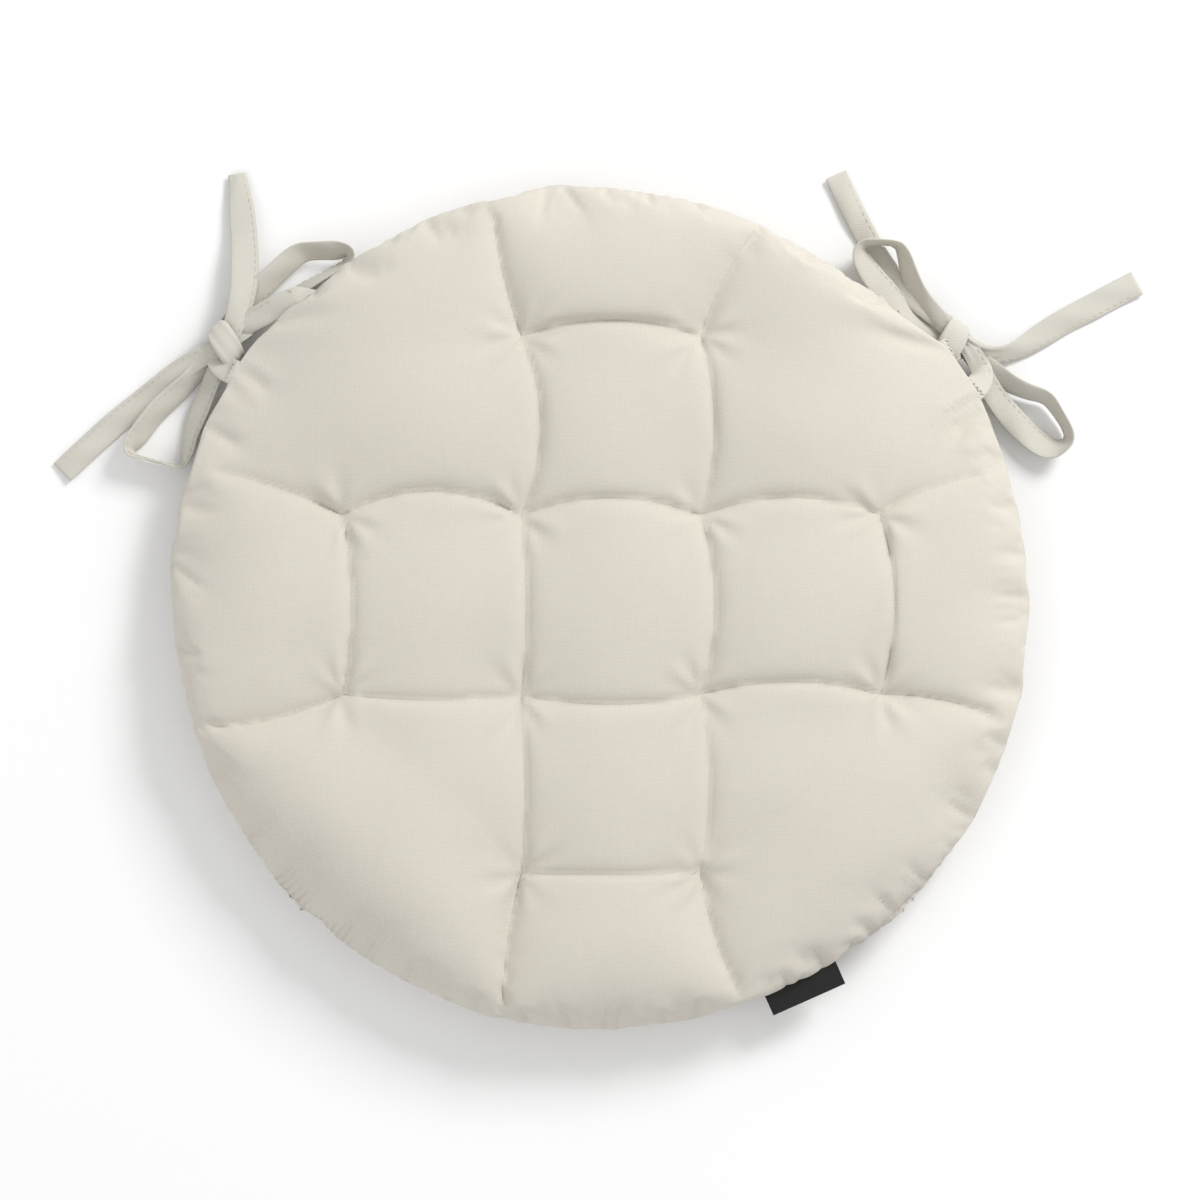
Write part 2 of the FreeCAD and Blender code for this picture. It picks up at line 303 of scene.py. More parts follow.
cloth = {
    "coverCloth": {"light": (0.665, 0.627, 0.556), "dark": (0.625, 0.586, 0.513), "spacing": 0.00062,
                   "slub": 0.65, "slubLength": 0.014, "tone": 0.13, "bump": 0.00012,
                   "roughness": 0.93, "sheen": 0.12, "blotch": 0.06, "uv": True},
    "tieCloth": {"light": (0.635, 0.613, 0.549), "dark": (0.597, 0.571, 0.504), "spacing": 0.00055,
                 "slub": 0.5, "slubLength": 0.014, "tone": 0.10, "bump": 0.00012,
                 "roughness": 0.93, "sheen": 0.12, "blotch": 0.04, "uv": True},
    "sewingThread": {"light": (0.66, 0.625, 0.55), "dark": (0.58, 0.545, 0.47), "spacing": 0.00035,
                     "slub": 0.2, "slubLength": 0.004, "tone": 0.2, "bump": 0.00006,
                     "roughness": 0.75, "sheen": 0.05, "blotch": 0.01, "uv": False},
    "fillingFibre": {"light": (0.80, 0.79, 0.77), "dark": (0.70, 0.69, 0.66), "spacing": 0.0011,
                     "slub": 1.0, "slubLength": 0.008, "tone": 0.1, "bump": 0.0004,
                     "roughness": 0.98, "sheen": 0.2, "blotch": 0.02, "uv": False},
    "labelWeave": {"light": (0.020, 0.019, 0.019), "dark": (0.011, 0.011, 0.011), "spacing": 0.0004,
                   "slub": 0.15, "slubLength": 0.02, "tone": 0.5, "bump": 0.00012,
                   "roughness": 0.6, "sheen": 0.05, "blotch": 0.02, "uv": True},
}


# One cloth from its values: the weave gives the tone and the bump, the shade gives the colour.
def clothMaterial(name, values):
    material = bpy.data.materials.new(name)
    material.use_nodes = True
    nodes, links = material.node_tree.nodes, material.node_tree.links
    shader = nodes["Principled BSDF"]
    shader.inputs["Roughness"].default_value = values["roughness"]
    shader.inputs["Sheen Weight"].default_value = values["sheen"]
    shader.inputs["Sheen Roughness"].default_value = 0.6
    shader.inputs["Specular IOR Level"].default_value = 0.25
    if values["uv"]:
        place = nodes.new("ShaderNodeUVMap")
        place.uv_map = "cloth"
        where = place.outputs["UV"]
    else:
        where = nodes.new("ShaderNodeTexCoord").outputs["Object"]
    weave = nodes.new("ShaderNodeGroup")
    weave.node_tree = plainWeave
    weave.inputs["Thread spacing"].default_value = values["spacing"]
    weave.inputs["Slub length"].default_value = values["slubLength"]
    weave.inputs["Slub amount"].default_value = values["slub"]
    links.new(where, weave.inputs["Vector"])
    shade = nodes.new("ShaderNodeGroup")
    shade.node_tree = clothShade
    shade.inputs["Tone amount"].default_value = values["tone"]
    shade.inputs["Blotch size"].default_value = values["blotch"]
    shade.inputs["Light shade"].default_value = (*values["light"], 1)
    shade.inputs["Dark shade"].default_value = (*values["dark"], 1)
    links.new(where, shade.inputs["Vector"])
    # The weave's slubs and its painted shade between threads feed the colour's dimming.
    links.new(weave.outputs["Tone"], shade.inputs["Tone"])
    links.new(shade.outputs["Color"], shader.inputs["Base Color"])
    bump = nodes.new("ShaderNodeBump")
    bump.inputs["Distance"].default_value = values["bump"]
    bump.inputs["Strength"].default_value = 0.7
    links.new(weave.outputs["Height"], bump.inputs["Height"])
    links.new(bump.outputs["Normal"], shader.inputs["Normal"])
    return material


materials = {name: clothMaterial(name, values) for name, values in cloth.items()}
print("materials made")


# A running mean weighted by a raised cosine, with the end values repeated past both ends.
def smoothed(values, window):
    kernel = np.hanning(window + 2)[1:-1]
    padded = np.pad(values, window // 2, mode="edge")
    return np.convolve(padded, kernel / kernel.sum(), mode="valid")[:len(values)]


# Each vector divided by its own length.
def unit(vectors):
    return vectors / np.linalg.norm(vectors, axis=-1, keepdims=True)


# The frame along a route: points about one ring apart, the direction of travel, the ribbon's face
# and its cross direction, both turned about the direction by the lean, and the width.
def ribbonFrame(values):
    route = np.array(values["route"])
    points, parameter = smoothLine(route)
    inward = unit((points[0] - points[2]) * [1, 1, 0]) - unit(points[0] * [1, 1, 0])
    back = np.linspace(tie["tuckIn"], 0, 8, endpoint=False)[:, None]
    points = np.concatenate([points[0] + unit(inward) * back, points])
    parameter = np.concatenate([np.zeros(8), parameter])
    along = np.concatenate([[0], np.cumsum(np.linalg.norm(np.diff(points, axis=0), axis=1))])
    stations = np.linspace(0, along[-1], int(along[-1] / tie["ring"]) + 1)
    at = np.interp(stations, along, parameter)
    points = np.stack([np.interp(stations, along, points[:, k]) for k in range(3)], 1)
    count = len(route)
    knots = np.concatenate([[0], np.arange(count - 2) + 0.5, [count - 2]])
    lean = smoothed(np.radians(np.interp(at, knots, values["lean"])), 9)
    width = smoothed(np.interp(at, knots, values["width"]), 9) / 1000
    direction = unit(np.gradient(points, axis=0))
    face = unit(up - direction * (direction @ up)[:, None])
    side = np.cross(direction, face)
    turnedFace = np.cos(lean)[:, None] * face + np.sin(lean)[:, None] * side
    turnedSide = np.cos(lean)[:, None] * side - np.sin(lean)[:, None] * face
    return points, stations - tie["tuckIn"], turnedFace, turnedSide, width


# A flat woven tie: a flattened superellipse carried along the route. Its face has a slight camber,
# long soft pleats where the knot draws it narrow, and a slow waviness along its length.
def ribbonSurface(values, seed):
    points, stations, face, side, width = ribbonFrame(values)
    angle = np.linspace(0, 2 * math.pi, 28, endpoint=False)
    cosine, sine = np.cos(angle), np.sin(angle)
    across = np.sign(cosine) * np.abs(cosine) ** 0.75
    depth = np.sign(sine) * np.abs(sine) ** 0.55
    narrow = np.clip(1 - width / tie["width"], 0, 1)
    pleats = np.clip(narrow - 0.2, 0, 1)[:, None] * tie["pleat"]
    pleats = pleats * np.cos(across[None, :] * tie["pleatCount"] + seed)
    far = stations[:, None]
    wave = np.sin(far * tie["slowWave"] + seed + across[None, :] * 1.3)
    wave += 0.6 * np.sin(far * tie["quickWave"] + 2 * seed - across[None, :] * 2.1)
    wave *= tie["waviness"]
    camber = -tie["camber"] * across[None, :] ** 2
    ends = np.clip(np.minimum(stations + tie["tuckIn"], stations[-1] - stations) / 0.0008, 0, 1) ** 0.5
    thickness = tie["thickness"] / 2 * (0.35 + 0.65 * ends)
    height = depth[None, :] * thickness[:, None] + pleats + wave + camber
    grid = (points[:, None] + side[:, None] * (across[None, :] * width[:, None] / 2)[..., None]
            + face[:, None] * height[..., None])
    return grid, stations


# Round the ribbon's girth in one direction, the length along it in the other, both in metres.
def tieUv(grid, stations):
    girth = np.linspace(0, tie["girth"], grid.shape[1] + 1)
    return np.stack(np.broadcast_arrays(girth[None, :], stations[:, None]), -1)


# Small capsules laid end to end: each is a circle carried along a straight stretch, drawn in at
# its two ends by half a sine.
def stitchGrids(starts, ends, normals, radius):
    steps = np.array([0, 0.06, 0.2, 0.5, 0.8, 0.94, 1.0])
    swell = np.sqrt(np.clip(np.sin(np.pi * np.clip(steps, 0.012, 0.988)), 0, 1)) ** 0.7
    angle = np.linspace(0, 2 * math.pi, 6, endpoint=False)
    direction = unit(ends - starts)
    side = unit(np.cross(direction, normals))
    face = np.cross(side, direction)
    middle = starts[:, None] + (ends - starts)[:, None] * steps[None, :, None]
    ring = (side[:, None, None] * np.cos(angle)[None, None, :, None]
            + face[:, None, None] * np.sin(angle)[None, None, :, None])
    bow = np.sin(np.pi * steps)[None, :, None] * normals[:, None] * radius * 0.5
    return (middle + bow)[:, :, None] + ring * (radius * swell)[None, :, None, None]


# Edge stitches: the ribbon's line moved sideways to just inside its edge and up onto its face, cut
# into equal stretches with equal gaps.
def tieStitches(values, seed):
    points, stations, face, side, width = ribbonFrame(values)
    pitch = tie["stitchLength"] + tie["stitchGap"]
    first = np.arange(0.012, stations[-1] - 0.006, pitch)
    inset = width / 2 - tie["stitchInset"]
    wave = tie["waviness"] * (np.sin(stations * tie["slowWave"] + seed + 1.0)
                              + 0.6 * np.sin(stations * tie["quickWave"] + 2 * seed - 1.6))
    narrow = np.clip(0.8 - width / tie["width"], 0, 1)
    lift = wave + narrow * tie["pleat"] * math.cos(6 + seed) + tie["thickness"] / 2 - 0.0003
    line = points + side * inset[:, None] + face * lift[:, None]

    def at(distance, source):
        return np.stack([np.interp(distance, stations, source[:, k]) for k in range(3)], 1)

    return stitchGrids(at(first, line), at(first + tie["stitchLength"], line), at(first, face),
                       tie["stitchRadius"])


knotBand = {"thickness": 0.0018, "pleat": 0.00045, "pleatCount": 7.5, "roll": 0.0009, "narrow": 0.74,
            "weldGap": 1e-6}
knots = {
    "left": {"body": "left_bow", "centre": (-.1743, .1237, .0108), "bearing": 42, "breadth": 0.0094,
             "height": 0.0064, "band": 0.0125, "tilt": 0.0018, "cord": "left_rear_tie"},
    "right": {"body": "right_bow", "centre": (.1640, .1245, .0110), "bearing": 142, "breadth": 0.0094,
              "height": 0.0066, "band": 0.0125, "tilt": -0.0016, "cord": "right_front_tie"},
}


# The band of a knot: a ribbon's profile carried round a flattened ring about the bundle of strands.
# The ring leans a little along the bundle as it goes round, the band narrows underneath, and three
# pleats run along it.
def knotSurface(values):
    turn = np.linspace(0, 2 * math.pi, 73)[:-1]
    angle = np.linspace(0, 2 * math.pi, 24, endpoint=False)
    bearing = math.radians(values["bearing"])
    bundle = np.array([math.cos(bearing), math.sin(bearing), 0])
    cross = np.array([-math.sin(bearing), math.cos(bearing), 0])
    cosine, sine = np.cos(turn), np.sin(turn)
    radial = unit(cross * cosine[:, None] / values["breadth"] + up * sine[:, None] / values["height"])
    sideways = values["breadth"] * np.sign(cosine) * np.abs(cosine) ** 0.85
    upwards = values["height"] * np.sign(sine) * np.abs(sine) ** 0.85
    ring = (np.array(values["centre"]) + cross * sideways[:, None] + up * upwards[:, None]
            + bundle * (values["tilt"] * cosine)[:, None])
    narrow = knotBand["narrow"]
    width = values["band"] * (narrow + (1 - narrow) * np.clip(sine, -0.4, 1)) / 2
    across = np.sign(np.cos(angle)) * np.abs(np.cos(angle)) ** 0.75
    depth = np.sign(np.sin(angle)) * np.abs(np.sin(angle)) ** 0.6
    pleat = knotBand["pleat"] * np.cos(across[None, :] * knotBand["pleatCount"] + 1.5 * cosine[:, None])
    roll = -knotBand["roll"] * across[None, :] ** 2 * (0.5 + 0.5 * sine[:, None])
    height = depth[None, :] * knotBand["thickness"] / 2 + pleat + roll
    return (ring[:, None] + bundle * (across[None, :] * width[:, None])[..., None]
            + radial[:, None] * height[..., None])


# A ring of profiles that closes on itself both ways: each cell is a quad.
def ringMesh(name, grid):
    closed = np.concatenate([grid, grid[:1]], 0)
    rows = np.arange(len(closed))[:, None] * 0.00075
    uv = np.stack(np.broadcast_arrays(np.linspace(0, tie["girth"], grid.shape[1] + 1)[None, :], rows), -1)
    mesh = gridMesh(name, closed, closed=True, uv=uv)
    work = bmesh.new()
    work.from_mesh(mesh)
    bmesh.ops.remove_doubles(work, verts=work.verts, dist=knotBand["weldGap"])
    work.to_mesh(mesh)
    work.free()
    return mesh


# Bakes the piece's placement into its mesh; the piece is not bent.
def bendWithBow(piece):
    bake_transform(piece)


for sideName, values in knots.items():
    name = sideName + "Knot"
    knot = addPiece(name, ringMesh(name, knotSurface(values)), materials["tieCloth"])
    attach(knot, values["body"])

for number, (node, values) in enumerate(tieRoutes.items()):
    words = node.split("_")
    name = words[0] + "".join(word.capitalize() for word in words[1:])
    seed = 1.7 * number + 0.4
    grid, stations = ribbonSurface(values, seed)
    ribbon = addPiece(name, gridMesh(name, grid, closed=True, capped=True, uv=tieUv(grid, stations)),
                      materials["tieCloth"])
    stitchMesh = gridMesh(name + "Stitches", tieStitches(values, seed), closed=True, capped=True)
    stitches = addPiece(name + "Stitches", stitchMesh, materials["sewingThread"])
    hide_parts(node)
    bendWithBow(ribbon)
    bendWithBow(stitches)
    path = ribbonFrame(values)[0]
print("ties and knots made")

tuftBoxes = {name: np.array(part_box(name)) for name in (f"tuft_stitch_{k:02d}" for k in range(1, 13))}
tufts = np.array([corners.mean(0)[:2] for corners in tuftBoxes.values()])
seamBox = np.array(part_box("perimeter_seam_thread"))

pad = {
    "cells": 104, "flatRadius": 0.2065, "seamLevel": float(seamBox[:, 2].mean()), "upperTuft": 0.031,
    "lowerTuft": 0.009, "pinRadius": 0.0035, "gather": 1.018, "gap": 0.003, "frames": 24, "gatherFrames": 12,
    "pressure": 22.0, "tension": 1.6, "shear": 1.0, "bend": 0.1, "mass": 0.05, "rimHold": 0.8,
    "cover": 0.0006, "seamGroove": 0.0011,
    "outline": {0: .200, 14: .201, 18: .1995, 22: .2025, 30: .2035, 36: .2035, 40: .1975, 50: .193,
                63: .1915, 67: .1885, 71: .192, 90: .1975, 98: .1985, 104: .1955, 110: .1990,
                130: .1985, 137: .2015, 146: .2045, 158: .2025, 161: .2005, 165: .2030, 175: .2010,
                192: .1970, 196: .1957, 200: .1970, 230: .1955, 254: .1960, 257: .1952, 260: .1965,
                287: .1955, 290: .1945, 293: .1955, 320: .1985, 341: .2005, 344: .1992, 348: .2005,
                360: .200},
    "scallops": ((23, .0006, 1.0), (37, .0005, 2.0), (61, .00035, 0.4)),
    "smoothing": 70, "smoothShare": 0.8, "creaseGuard": 0.006, "crown": 1.20,
    "smoothTo": 0.186, "sharpTo": 0.188, "fillTo": 0.180, "rimFade": 0.02, "fillInset": 2.2,
    "floorRound": 0.0022, "damping": 5, "airDamping": 1, "quality": 5,
}
gridCentre = tufts.mean(0)


# A square grid drawn onto a round: x = u sqrt(1 - v v / 2), y = v sqrt(1 - u u / 2), with u and v
# from -1 to 1.
def roundGrid(cells):
    u, v = np.meshgrid(np.linspace(-1, 1, cells + 1), np.linspace(-1, 1, cells + 1))
    return np.stack([u * np.sqrt(1 - v * v / 2), v * np.sqrt(1 - u * u / 2)], -1)


# The pad's radius in a direction: straight lines between the bearings, plus three sine waves.
def outlineAt(flat):
    turn = np.arctan2(flat[..., 1], flat[..., 0])
    scallops = sum(size * np.sin(count * turn + shift) for count, size, shift in pad["scallops"])
    return np.interp(np.degrees(turn) % 360, list(pad["outline"]), list(pad["outline"].values())) + scallops


# Creases that the tufting leaves, each from a tuft to its neighbour, or to the rim at a bearing, with
# how far it bows to the left of its own direction. The filling lifts the cloth at four corners.
creases = {
    "between": {(0, 1): 0, (2, 3): -.0025, (3, 4): -.0045, (4, 5): .006, (6, 7): .011, (7, 8): .008,
                (8, 9): .008, (10, 11): .007, (0, 3): -.002, (1, 4): -.004, (2, 6): -.0045,
                (3, 7): -.0025, (4, 8): -.0065, (5, 9): -.007, (7, 10): -.009, (8, 11): -.0065},
    "toRim": {10: (104.9, .002), 11: (67.2, .003), 9: (18.8, .004), 5: (344.4, .004),
              6: (160.6, -.003), 2: (196.4, .004), 0: (256.5, -.002), 1: (290.2, -.003)},
    "hold": 0.6, "rimShare": 0.7, "rimFade": 0.6, "reach": 0.0028, "middleLevel": 0.0360, "rimEnd": 0.195,
    "cut": 0.0036, "rimCut": 0.0026, "cutWidth": 0.0030, "snap": 0.0011, "rimRise": 0.002,
    "rimSag": 0.003, "sagPower": 0.8,
}
lifts = {"bearings": (45, 135, 225, 315), "distance": 0.140, "reach": 0.040, "level": 0.042, "fall": 0.006,
         "hold": 0.12}
arcSteps = np.linspace(0, 1, 25)


# Each crease as a straight line bent sideways by a parabola, with the level the upper cloth takes there.
def creaseArcs():
    sag = np.sin(np.pi * arcSteps)
    ends = [(tufts[a], tufts[b], bow, False) for (a, b), bow in creases["between"].items()]
    for a, (bearing, bow) in creases["toRim"].items():
        turn = math.radians(bearing)
        ends.append((tufts[a], np.array([math.cos(turn), math.sin(turn)]) * creases["rimEnd"], bow, True))
    arcs = []
    for a, b, bow, toRim in ends:
        left = np.array([a[1] - b[1], b[0] - a[0]]) / np.linalg.norm(b - a)
        arc = a + (b - a) * arcSteps[:, None] + left * (bow * 4 * arcSteps * (1 - arcSteps))[:, None]
        if toRim:
            level = pad["upperTuft"] * (1 - arcSteps) + (pad["seamLevel"] + creases["rimRise"]) * arcSteps
            level += creases["rimSag"] * sag
        else:
            rise = creases["middleLevel"] - pad["upperTuft"]
            level = pad["upperTuft"] + rise * sag ** creases["sagPower"]
        arcs.append((arc, level, toRim))
    return arcs


# How strongly each point of the cloth is held to a crease or a lift, and at what level.
def heldLevels(spots):
    hold, level = np.zeros(len(spots)), np.zeros(len(spots))

    def keep(strength, height):
        stronger = (strength > hold) & (strength > 0.03)
        hold[stronger], level[stronger] = strength[stronger], height[stronger]

    for arc, heights, toRim in creaseArcs():
        gaps = np.linalg.norm(spots[:, None] - arc[None], axis=2)
        nearest = gaps.argmin(1)
        share = creases["rimShare"] * (1 - creases["rimFade"] * arcSteps[nearest]) if toRim else 1
        keep(creases["hold"] * share * np.exp(-(gaps.min(1) / creases["reach"]) ** 2), heights[nearest])
    for bearing in lifts["bearings"]:
        turn = math.radians(bearing)
        centre = gridCentre / 2 + np.array([math.cos(turn), math.sin(turn)]) * lifts["distance"]
        away = np.linalg.norm(spots - centre, axis=1) / lifts["reach"]
        keep(lifts["hold"] * np.exp(-away ** 2), lifts["level"] - lifts["fall"] * away ** 2)
    return hold, level


# Two flat rounds of cloth sewn together at the rim are drawn down at the tufts and blown up with
# Cloth. Gives the settled upper and lower grids, which share their rim points.
def sewnPad():
    cells = pad["cells"]
    flat = roundGrid(cells) * pad["flatRadius"]
    edge = np.zeros(flat.shape[:2], bool)
    edge[[0, -1], :] = edge[:, [0, -1]] = True
    flat2, edge1 = flat.reshape(-1, 2), edge.ravel()
    inner = np.flatnonzero(~edge1)
    upper = np.arange(len(flat2))
    lower = upper.copy()
    lower[inner] = len(flat2) + np.arange(len(inner))
    index = upper.reshape(edge.shape)
    quads = np.stack([index[:-1, :-1], index[:-1, 1:], index[1:, 1:], index[1:, :-1]], -1).reshape(-1, 4)
    faces = np.concatenate([upper[quads], lower[quads][:, ::-1]])
    spots = np.concatenate([flat2, flat2[inner]])
    level = np.concatenate([np.where(edge1, 0, 1), -np.ones(len(inner))])
    middle = (pad["upperTuft"] + pad["lowerTuft"]) / 2
    reach = np.linalg.norm(spots, axis=1) / pad["flatRadius"]
    start = np.column_stack([spots, middle + level * pad["gap"] * (1 - reach ** 4)])
    flatTufts = gridCentre + (tufts - gridCentre) * pad["gather"]
    apart = np.linalg.norm(spots[:, None] - flatTufts[None], axis=2)
    nearest, distance = apart.argmin(1), apart.min(1)
    pinned = (distance < pad["pinRadius"]) & (level != 0)
    rim = level == 0
    goal = start.copy()
    goal[pinned, :2] = tufts[nearest[pinned]] + 0.4 * (spots[pinned] - flatTufts[nearest[pinned]])
    goal[pinned, 2] = np.where(level[pinned] > 0, pad["upperTuft"], pad["lowerTuft"])
    goal[rim, :2] = unit(spots[rim]) * outlineAt(spots[rim])[:, None]
    hold, heights = heldLevels(spots)
    hold[rim | pinned] = 0
    held = hold > 0
    goal[held, 2] = middle + level[held] * (heights[held] - middle)

    mesh = bpy.data.meshes.new("sewnRounds")
    mesh.from_pydata(start.tolist(), [], faces.tolist())
    work = bpy.data.objects.new("sewnRounds", mesh)
    scene.collection.objects.link(work)
    work.shape_key_add(name="Basis")
    key = work.shape_key_add(name="gathered")
    key.data.foreach_set("co", goal.ravel())
    for frameNumber, amount in ((1, 0.0), (pad["gatherFrames"], 1.0)):
        key.value = amount
        key.keyframe_insert("value", frame=frameNumber)
    group = work.vertex_groups.new(name="held")
    group.add(np.flatnonzero(pinned).tolist(), 1.0, "REPLACE")
    group.add(np.flatnonzero(rim).tolist(), pad["rimHold"], "REPLACE")
    for step in range(1, 21):
        group.add(np.flatnonzero(np.round(hold * 20) == step).tolist(), step / 20, "REPLACE")
    modifier = work.modifiers.new("cloth", "CLOTH")
    settings = modifier.settings
    settings.quality = pad["quality"]
    settings.mass = pad["mass"]
    settings.tension_stiffness = settings.compression_stiffness = pad["tension"]
    settings.shear_stiffness = pad["shear"]
    settings.bending_stiffness = pad["bend"]
    settings.tension_damping = settings.compression_damping = pad["damping"]
    settings.air_damping = pad["airDamping"]
    settings.use_pressure = True
    settings.uniform_pressure_force = pad["pressure"]
    settings.vertex_group_mass = "held"
    settings.effector_weights.gravity = 0
    modifier.point_cache.frame_end = pad["frames"] + 1
    for frameNumber in range(1, pad["frames"] + 1):
        scene.frame_set(frameNumber)
    settled = work.evaluated_get(bpy.context.evaluated_depsgraph_get())
    points = np.empty(len(spots) * 3)
    settled.data.vertices.foreach_get("co", points)
    points = points.reshape(-1, 3)
    scene.frame_set(1)
    bpy.data.objects.remove(work)
    bpy.data.meshes.remove(mesh)
    for action in list(bpy.data.actions):
        bpy.data.actions.remove(action)
    return flat, points[upper].reshape(*edge.shape, 3), points[lower].reshape(*edge.shape, 3)


# Twice as many rows and columns: each new line lies on the cubic through its four neighbours.
def doubled(grid):
    for axis in (0, 1):
        g = np.moveaxis(grid, axis, 0)
        before = np.concatenate([2 * g[:1] - g[1:2], g[:-1]])[:-1]
        after = np.concatenate([g[1:], 2 * g[-1:] - g[-2:-1]])[1:]
        between = (9 * (g[:-1] + g[1:]) - before - after) / 16
        wide = np.empty((2 * len(g) - 1, *g.shape[1:]))
        wide[::2], wide[1::2] = g, between
        grid = np.moveaxis(wide, 0, axis)
    return grid


# The unit cross product of the differences along the grid's two directions.
def normalsOf(grid):
    return unit(np.cross(np.gradient(grid, axis=1), np.gradient(grid, axis=0)) + 1e-12 * up)


# The nearest point of any crease, the distance to it, and how deep the crease is cut there.
def nearestCrease(spots):
    best, nearest, depth = np.full(len(spots), 1.0), spots.copy(), np.zeros(len(spots))
    for arc, level, toRim in creaseArcs():
        fine = np.linspace(0, 24, 121)
        line = np.stack([np.interp(fine, np.arange(25), arc[:, k]) for k in (0, 1)], 1)
        span = np.linalg.norm(arc[-1] - arc[0]) * 0.5 + 0.02
        near = np.flatnonzero(np.abs(spots - arc[12]).max(1) < span)
        gaps = np.linalg.norm(spots[near][:, None] - line[None], axis=2)
        which, gap = gaps.argmin(1), gaps.min(1)
        share = which / 120
        middleCut = creases["cut"] * (0.55 + 0.45 * np.sin(np.pi * share))
        fade = (1 - 0.75 * share) * creases["rimCut"] if toRim else middleCut
        closer = gap < best[near]
        target = near[closer]
        best[target], nearest[target], depth[target] = gap[closer], line[which[closer]], fade[closer]
    return best, nearest, depth


# Smooths the puffs: each point moves towards the middle of its four neighbours, again and again,
# but not near a crease or the rim.
def smoothedPuffs(grid):
    spots = grid[..., :2].reshape(-1, 2)
    away = nearestCrease(spots)[0].reshape(grid.shape[:2])
    free = (1 - np.exp(-(away / pad["creaseGuard"]) ** 2)) * pad["smoothShare"]
    free *= np.clip((pad["smoothTo"] - np.linalg.norm(grid[..., :2], axis=2)) / pad["rimFade"], 0, 1)
    level = grid[..., 2].copy()
    for _ in range(pad["smoothing"]):
        middle = level.copy()
        middle[1:-1, 1:-1] = (level[:-2, 1:-1] + level[2:, 1:-1] + level[1:-1, :-2] + level[1:-1, 2:]) / 4
        level += free * (middle - level)
    return np.concatenate([grid[..., :2], level[..., None]], -1)


folds = {"height": 0.0011, "count": 7, "reach": 0.011, "turn": 2.4}


# Small folds that run out from each tuft: sine waves round it, uneven and each tuft turned its own
# way, times the distance squared and a bell, so they are strongest a little way out.
def foldedAtTufts(grid):
    level = grid[..., 2].copy()
    for number, spot in enumerate(tufts):
        across = grid[..., :2] - spot
        away = np.linalg.norm(across, axis=2) / folds["reach"]
        turn = np.arctan2(across[..., 1], across[..., 0]) + folds["turn"] * number
        uneven = 0.6 + 0.4 * np.sin(2 * turn + number)
        waves = np.sin(folds["count"] * turn + 1.3 * np.sin(turn)) * uneven
        level += folds["height"] * waves * away ** 2 * np.exp(1 - away ** 2)
    return np.concatenate([grid[..., :2], level[..., None]], -1)


# Sharpens the creases: points close to one slide onto it, and it is cut as a sharp valley whose
# depth falls off exponentially to both sides.
def sharpened(grid):
    spots = grid[..., :2].reshape(-1, 2)
    inside = np.linalg.norm(spots, axis=1) < pad["sharpTo"]
    gap, nearest, depth = nearestCrease(spots)
    pull = np.exp(-(gap / creases["snap"]) ** 4) * inside
    moved = spots + (nearest - spots) * pull[:, None]
    gap = gap * (1 - pull)
    level = grid[..., 2].ravel() - depth * np.exp(-gap / creases["cutWidth"]) * inside
    return np.column_stack([moved, level]).reshape(grid.shape)


flatGrid, upperGrid, lowerGrid = sewnPad()
print("pad settled")
flatGrid = doubled(np.concatenate([flatGrid, np.zeros((*flatGrid.shape[:2], 1))], -1))[..., :2]
upperGrid, lowerGrid = doubled(upperGrid), doubled(lowerGrid)
upperGrid[..., 2] += pad["seamLevel"] - (pad["upperTuft"] + pad["lowerTuft"]) / 2
lowerGrid[..., 2] += pad["seamLevel"] - (pad["upperTuft"] + pad["lowerTuft"]) / 2
upperGrid = smoothedPuffs(upperGrid)
upperGrid[..., 2] = pad["seamLevel"] + (upperGrid[..., 2] - pad["seamLevel"]) * pad["crown"]
upperGrid = sharpened(foldedAtTufts(upperGrid))
lowerGrid = smoothedPuffs(lowerGrid)
low = lowerGrid[..., 2]
lowerGrid[..., 2] = (low + np.sqrt(low ** 2 + pad["floorRound"] ** 2)) / 2    # what it lies on flattens it


# The rim sinks between the two swellings, as a turned seam does.
def grooved(grid):
    grid = grid.copy()
    for ring, share in ((0, 1.0), (1, 0.25)):
        mask = np.zeros(grid.shape[:2], bool)
        low, high = ring, grid.shape[0] - 1 - ring
        mask[[low, high], low:high + 1] = mask[low:high + 1, [low, high]] = True
        outward = unit(grid[mask][:, :2])
        grid[mask, :2] -= outward * pad["seamGroove"] * share
    return grid


upperGrid, lowerGrid = grooved(upperGrid), grooved(lowerGrid)


# A thin cover: the outer grid, the same grid moved inwards along its normals by the cloth's
# thickness, and a strip that joins their rims.
def shellMesh(name, outer, inward, uvGrid):
    n = outer.shape[0]
    inner = outer + inward * pad["cover"]
    points = np.concatenate([outer.reshape(-1, 3), inner.reshape(-1, 3)])
    index = np.arange(n * n).reshape(n, n)
    quads = np.stack([index[:-1, :-1], index[:-1, 1:], index[1:, 1:], index[1:, :-1]], -1).reshape(-1, 4)
    loop = np.concatenate([index[0, :-1], index[:-1, -1], index[-1, :0:-1], index[:0:-1, 0]])
    after = np.roll(loop, -1)
    strip = np.stack([after, loop, loop + n * n, after + n * n], -1)
    faces = np.concatenate([quads, quads[:, ::-1] + n * n, strip])
    a, b, c, d = (points[faces[:, k]] for k in range(4))
    volume = np.einsum("ij,ij->", a, np.cross(b, c)) + np.einsum("ij,ij->", a, np.cross(c, d))
    if volume < 0:
        faces = faces[:, ::-1]
    mesh = bpy.data.meshes.new(name)
    mesh.from_pydata(points.tolist(), [], faces.tolist())
    mesh.polygons.foreach_set("use_smooth", np.ones(len(mesh.polygons), bool))
    layer = mesh.uv_layers.new(name="cloth")
    layer.data.foreach_set("uv", np.tile(uvGrid.reshape(-1, 2), (2, 1))[faces.ravel()].ravel())
    return mesh


